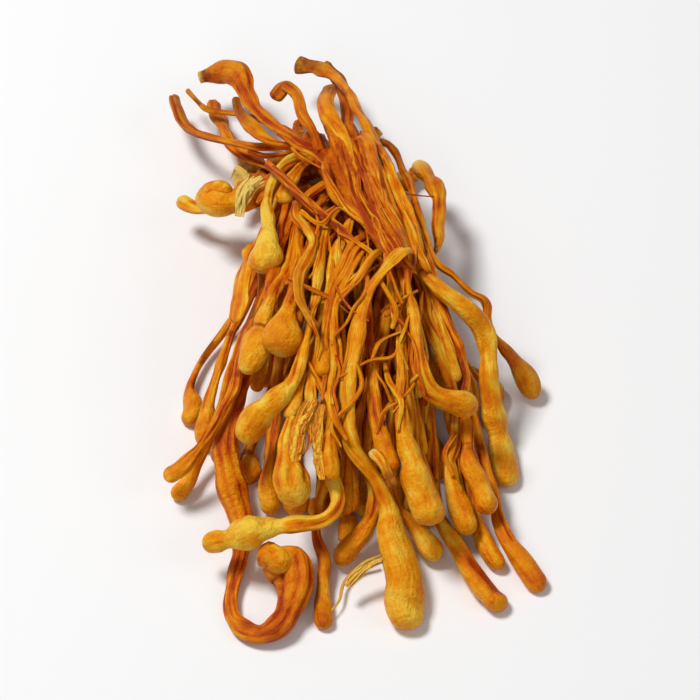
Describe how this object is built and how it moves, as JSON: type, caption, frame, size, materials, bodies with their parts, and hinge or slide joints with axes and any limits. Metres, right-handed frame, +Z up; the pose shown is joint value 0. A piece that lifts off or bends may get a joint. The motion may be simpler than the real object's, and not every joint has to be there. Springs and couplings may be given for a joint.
{
  "type": "dried cordyceps clump",
  "caption": "Clump of dried cordyceps: thin furrowed orange fungus stems with swollen club ends, grown together in a torn foot, lying on its side in a loose sheaf.",
  "frame": {"origin": "centre of the clump's box, on the table it lies on", "axes": "+Z up; the clubs reach forward to -Y and the foot and the blunt stem ends lie at +Y, +X is to the right as seen from the club end"},
  "size_m": [0.0422, 0.0812, 0.0172],
  "materials": {
    "stem": "dry matt to faintly waxy orange skin, furrowed lengthwise, ochre on its ridges, finely grained clubs",
    "foot": "dry fibrous red-orange flesh with torn pale yellow rags"
  },
  "bodies": {
    "root": {"bent_back_stem": "stem", "blunt_back_stem": "stem", "knob_back_stem": "stem", "dark_back_stem": "stem", "thin_back_stem": "stem", "stub_back_stem": "stem", "low_back_stem": "stem", "long_bow_stem": "stem", "side_club_stem": "stem", "far_right_stem": "stem", "light_bow_stem": "stem", "right_drop_stem": "stem", "right_tuck_stem": "stem", "knuckle_stem": "stem", "plump_left_stem": "stem", "ragged_neck_stem": "stem", "round_club_stem": "stem", "oval_club_stem": "stem", "leaf_stem": "stem", "pale_bulb_stem": "stem", "pale_knob_stem": "stem", "fat_left_stem": "stem", "cream_knob_stem": "stem", "right_hook_stem": "stem", "crossing_stem": "stem", "mid_club_stem": "stem", "zigzag_stem": "stem", "kinked_stem": "stem", "small_club_stem": "stem", "loop_stem": "stem", "front_left_stem": "stem", "front_right_stem": "stem", "spoon_club_stem": "stem", "far_club_stem": "stem", "tucked_club_stem": "stem", "left_sweep_stem": "stem", "left_low_stem": "stem", "inner_drop_stem": "stem", "inner_left_stem": "stem", "under_stem_01": "stem", "under_stem_02": "stem", "under_stem_03": "stem", "under_stem_04": "stem", "under_stem_05": "stem", "under_stem_06": "stem", "under_stem_07": "stem", "under_stem_08": "stem", "under_stem_09": "stem", "under_stem_10": "stem", "under_stem_11": "stem", "under_stem_12": "stem", "under_stem_13": "stem", "under_stem_14": "stem", "under_stem_15": "stem", "under_stem_16": "stem", "under_stem_17": "stem", "under_stem_18": "stem", "under_stem_19": "stem", "foot": "foot"}
  },
  "joints": []
}
